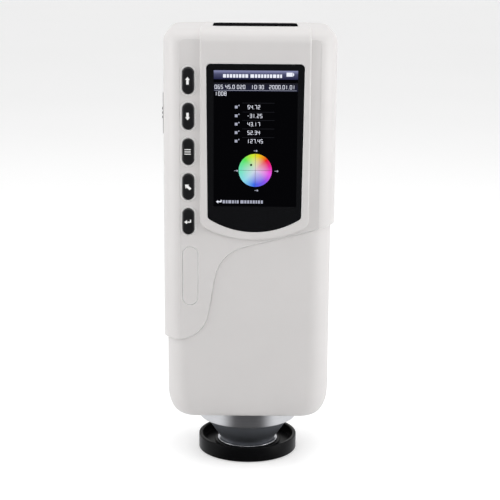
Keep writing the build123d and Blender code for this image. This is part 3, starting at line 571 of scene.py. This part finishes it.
def draw_strips():
    """Dark ground with the bright header and the dim second strip across it."""
    middle_x, half_width = 2.6, 18.6
    header_z, header_half = 184.95, 1.95
    second_z, second_half = 179.6, 1.9
    on_screen("ground", [box(-16.05, 125.9, 21.2, 187.0)], dark_light, GROUND_LAYER)
    header_top, header_foot = (0.4, 0.42, 0.72), (0.006, 0.008, 0.07)
    header = banner_shader("picture_header", header_top, header_foot, header_half * MM, 0.6)
    outline = centred_box(half_width, header_half)
    on_screen("banner", [outline], header, COLOUR_LAYER, (middle_x, header_z))
    second_top, second_foot = (0.001, 0.001, 0.004), (0.004, 0.006, 0.04)
    second = banner_shader("picture_second", second_top, second_foot, second_half * MM, 0.5)
    outline = centred_box(half_width, second_half)
    on_screen("strip", [outline], second, COLOUR_LAYER, (middle_x, second_z))


def draw_words():
    """Rows of bars for the title and the hint, with the hint's arrow and the battery mark."""
    title = ((-11.9, (1.3, 0.9, 1.1, 1.0, 0.8, 1.1, 1.0, 1.2)),
             (0.2, (1.6, 1.0, 1.0, 0.9, 1.0, 0.8, 1.0, 1.4, 1.0, 0.8)))
    hint = ((-11.9, (1.0, 0.8, 1.3, 0.8, 0.5, 0.9)), (-3.9, (1.4, 0.9, 0.9, 0.8, 0.9, 0.7, 0.9, 0.9)))
    title_low, title_high = 183.75, 185.25
    hint_low, hint_high = 127.35, 128.75
    hint_z = (hint_low + hint_high) / 2
    bend_x, head_x, tip_x = -12.6, -13.9, -14.9
    hint_arrow = [
        stroke(-14.4, hint_z, bend_x, hint_z, 0.5),
        [(tip_x, hint_z), (head_x, hint_low), (head_x, hint_high)],
        stroke(bend_x, 127.9, bend_x, 128.9, 0.45),
    ]
    cell_low, cell_high = 184.35, 186.1
    battery = [
        box(16.1, cell_low, 18.7, cell_high),
        box(18.85, cell_low, 19.1, cell_high),
        box(19.1, 184.75, 19.45, 185.7),
    ]
    on_screen("title", word_row(title, title_low, title_high), white_light)
    on_screen("hint", word_row(hint, hint_low, hint_high), pale_light)
    on_screen("hint_arrow", hint_arrow, white_light)
    on_screen("battery", battery, white_light)


def draw_values():
    """Plain numbers of the second strip and of the five rows, with the rows' marks and lines."""
    strip_low, digit_drop = 178.85, 0.85
    rows = ((170.8, "54.72"), (166.9, "-31.25"), (163.2, "43.17"), (159.4, "52.34"), (155.6, "127.45"))
    line_zs = (172.5, 168.5, 164.8, 161.0, 157.15)
    line_width = 0.12
    numbers = digits("065 45.0 020", -15.5, strip_low)
    numbers += digits("10:30", 0.7, strip_low)
    numbers += digits("2000.01.01", 8.6, strip_low)
    numbers += digits("1008", -15.3, 175.85)
    labels = []
    for z, value in rows:
        numbers += digits(value, -0.9, z - digit_drop)
        labels.append(box(-6.6, z - 0.65, -5.4, z + 0.55))
        labels.append(disc(-4.8, z + 0.65, 0.3, count=8))
    on_screen("numbers", numbers, white_light)
    on_screen("rule", [box(-15.7, 178.05, 20.75, 178.2)], pale_light)
    on_screen("labels", labels, pale_light)
    on_screen("lines", [box(-3.3, z, 11.0, z + line_width) for z in line_zs], dim_light)


def draw_wheel():
    """Colour wheel with its cross, the measured spot and a mark at the end of each axis."""
    middle_x, middle_z, radius = 2.65, 142.4, 7.45
    half_line = 0.07
    wheel = wheel_shader("picture_colours", radius * MM)
    on_screen("wheel", [disc(0, 0, radius, count=96)], wheel, COLOUR_LAYER, (middle_x, middle_z))
    cross = [
        box(middle_x - half_line, 135.0, middle_x + half_line, 149.8),
        box(-4.7, middle_z - half_line, 10.0, middle_z + half_line),
    ]
    on_screen("cross", cross, lit("picture_cross_grey", (0.2, 0.2, 0.3), 0.4))
    on_screen("spot", [disc(0.77, 144.85, 0.5, count=20)], dark_light)
    half_dash, dash, dot_shift, dot_radius = 0.12, 0.7, 1.25, 0.42
    ticks = []
    for x, z in ((1.9, 151.2), (11.3, 142.1), (-6.7, 142.2), (2.4, 133.3)):
        ticks.append(box(x, z - half_dash, x + dash, z + half_dash))
        ticks.append(disc(x + dot_shift, z, dot_radius, count=12))
    on_screen("ticks", ticks, pale_light)


draw_strips()
draw_words()
draw_values()
draw_wheel()


# Keys and slide

def draw_signs():
    """White signs on the keys, a little left of their middles."""
    key_front, key_x, first_key_z, key_pitch = -33.2, -27.35, 182.2, 15.85
    proud, film, shift = 0.02, 0.03, -0.25
    sign_white = moulded("sign_white", (0.95, 0.95, 0.94), 0.5, depth=0.000002, tint=0.03, edge=0.0001)
    signs = {
        "key_up": [arrow(0)],
        "key_down": [arrow(180)],
        "key_menu": [box(-1.4, z - 0.2, 1.4, z + 0.2) for z in (-1.0, 0, 1.0)],
        "key_back": [arrow(50, head=2.5)],
        "key_enter": [
            [(-1.6, -0.25), (-0.35, 0.75), (-0.35, 0.1), (-0.35, -1.25)],
            box(-0.35, -0.5, 1.5, 0.0),
            box(1.0, 0.0, 1.5, 0.9),
        ],
    }
    for step, (key, outlines) in enumerate(signs.items()):
        centre = (key_x + shift, first_key_z - key_pitch * step)
        plate("sign_" + key, outlines, key_front - proud, film, sign_white, key + "_cap", centre)


def slide_face():
    """Dark face under the ribs of the side slide, proud of the housing's side."""
    proud, depth, inset, edge = 1.2 * MM, 1.9 * MM, 0.2 * MM, 0.35 * MM
    low, high = (Vector(corner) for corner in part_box("power_slider"))
    proud_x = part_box("front_housing")[0][0] - proud
    first = Vector((proud_x, low.y + inset, low.z + inset))
    last = Vector((proud_x + depth, high.y - inset, high.z - inset))
    mesh = bmesh.new()
    bmesh.ops.create_cube(mesh, size=1.0)
    bmesh.ops.scale(mesh, vec=last - first, verts=mesh.verts)
    bmesh.ops.translate(mesh, vec=(first + last) / 2, verts=mesh.verts)
    bmesh.ops.bevel(mesh, geom=mesh.edges[:], offset=edge, segments=3, affect="EDGES", profile=0.5)
    piece = solid(mesh, "slide_face", finishes["keys"])
    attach(piece, "power_knob")


draw_signs()
slide_face()


# Floor, lights and camera, in metres

def mirrored_studio(tree, place):
    """What the part's gloss sees of the floor: dark in front of it, light at its sides and behind."""
    front_end, side_start, dark, light = 0.5, 0.95, (0.1, 0.1, 0.105), (0.85, 0.86, 0.88)
    parts = axes(tree, place)
    aside = worked_out(tree, "ABSOLUTE", parts["X"])
    ahead = worked_out(tree, "MULTIPLY", parts["Y"], -1.0)
    angle = worked_out(tree, "ARCTAN2", aside, ahead)
    shine = tree.nodes.new("ShaderNodeEmission")
    colours = colour_ramp(tree, angle, [(front_end, dark), (side_start, light)])
    tree.links.new(colours, shine.inputs["Color"])
    return shine.outputs["Emission"]


def chosen(tree, rays, first, second, target):
    """Two shaders sent to a surface: the second for the named rays and the first for all others."""
    mix = tree.nodes.new("ShaderNodeMixShader")
    tree.links.new(tree.nodes.new("ShaderNodeLightPath").outputs[rays], mix.inputs["Fac"])
    tree.links.new(first, mix.inputs[1])
    tree.links.new(second, mix.inputs[2])
    tree.links.new(mix.outputs["Shader"], target)


def floor():
    """Large pale floor under the part, a little brighter where it is seen directly."""
    reach, glow = 14, 0.3
    low_tone, high_tone, tone_scale = (0.88, 0.88, 0.88), (0.9, 0.9, 0.9), 3
    data = bpy.data.meshes.new("studio_floor")
    corners = [(-reach, -reach, 0), (reach, -reach, 0), (reach, reach, 0), (-reach, reach, 0)]
    data.from_pydata(corners, [], [(0, 1, 2, 3)])
    piece = in_scene("studio_floor", data)
    material, tree, principled, place = shader("floor_white")
    tones = colour_ramp(tree, noise(tree, place, tone_scale), [(0.3, low_tone), (0.7, high_tone)])
    tree.links.new(tones, principled.inputs["Base Color"])
    principled.inputs["Roughness"].default_value = 0.6
    principled.inputs["Specular IOR Level"].default_value = 0.2
    principled.inputs["Emission Color"].default_value = (1, 1, 1, 1)
    seen = tree.nodes.new("ShaderNodeLightPath").outputs["Is Camera Ray"]
    tree.links.new(spread(tree, seen, 0.0, glow), principled.inputs["Emission Strength"])
    surface = tree.nodes["Material Output"].inputs["Surface"]
    chosen(tree, "Is Glossy Ray", principled.outputs["BSDF"], mirrored_studio(tree, place), surface)
    data.materials.append(material)


def soft_light(name, place, width, height, power):
    """Rectangular soft light aimed at the middle of the part."""
    target = Vector((0, 0, 0.11))
    data = bpy.data.lights.new(name, "AREA")
    data.shape = "RECTANGLE"
    data.size = width
    data.size_y = height
    data.energy = power
    lamp = in_scene(name, data)
    lamp.location = place
    lamp.rotation_euler = (target - Vector(place)).to_track_quat("-Z", "Y").to_euler()


def studio_world():
    """Surroundings that are white to the camera, and dark in front and pale behind to the part."""
    front_end, back_start = -1.0, 0.1
    dark, pale, strength, backdrop_strength = (0.02, 0.02, 0.022), (0.95, 0.95, 0.95), 0.85, 1.05
    world = bpy.data.worlds.new("studio")
    bpy.context.scene.world = world
    world.use_nodes = True
    tree = world.node_tree
    direction = axes(tree, tree.nodes.new("ShaderNodeTexCoord").outputs["Generated"])
    share = spread(tree, direction["Y"], 0.0, 1.0, front_end, back_start)
    background = tree.nodes["Background"]
    tree.links.new(colour_ramp(tree, share, [(0.1, dark), (1.0, pale)]), background.inputs["Color"])
    background.inputs["Strength"].default_value = strength
    backdrop = tree.nodes.new("ShaderNodeBackground")
    backdrop.inputs["Color"].default_value = (1, 1, 1, 1)
    backdrop.inputs["Strength"].default_value = backdrop_strength
    surface = tree.nodes["World Output"].inputs["Surface"]
    chosen(tree, "Is Camera Ray", background.outputs["Background"], backdrop.outputs["Background"], surface)


def photo_camera():
    """Camera at the photograph's angle, with its focal length in pixels of the 500 pixel frame."""
    frame_pixels, focal_pixels, sensor = 500, 1402.5, 36.0
    place = Vector((0.568, -653.7, 243.97)) * MM
    pitch, roll = math.radians(12.547), math.radians(0.43)
    data = bpy.data.cameras.new("camera")
    data.sensor_fit = "HORIZONTAL"
    data.sensor_width = sensor
    data.lens = sensor * focal_pixels / frame_pixels
    data.clip_start = 0.01
    data.clip_end = 60
    camera = in_scene("camera", data)
    turn = Matrix.Rotation(QUARTER_TURN - pitch, 4, "X") @ Matrix.Rotation(roll, 4, "Z")
    camera.matrix_world = Matrix.Translation(place) @ turn
    bpy.context.scene.camera = camera


floor()
soft_light("light_left", (-0.75, -0.2, 0.3), width=0.45, height=0.9, power=2.7)
soft_light("light_right", (0.75, -0.22, 0.3), width=0.45, height=0.9, power=3.2)
soft_light("light_top", (0, 0.1, 0.95), width=0.9, height=0.7, power=1.6)
soft_light("light_front", (0, -0.75, 0.8), width=1.2, height=0.5, power=3.0)
studio_world()
photo_camera()
bpy.context.scene.view_settings.view_transform = "Standard"
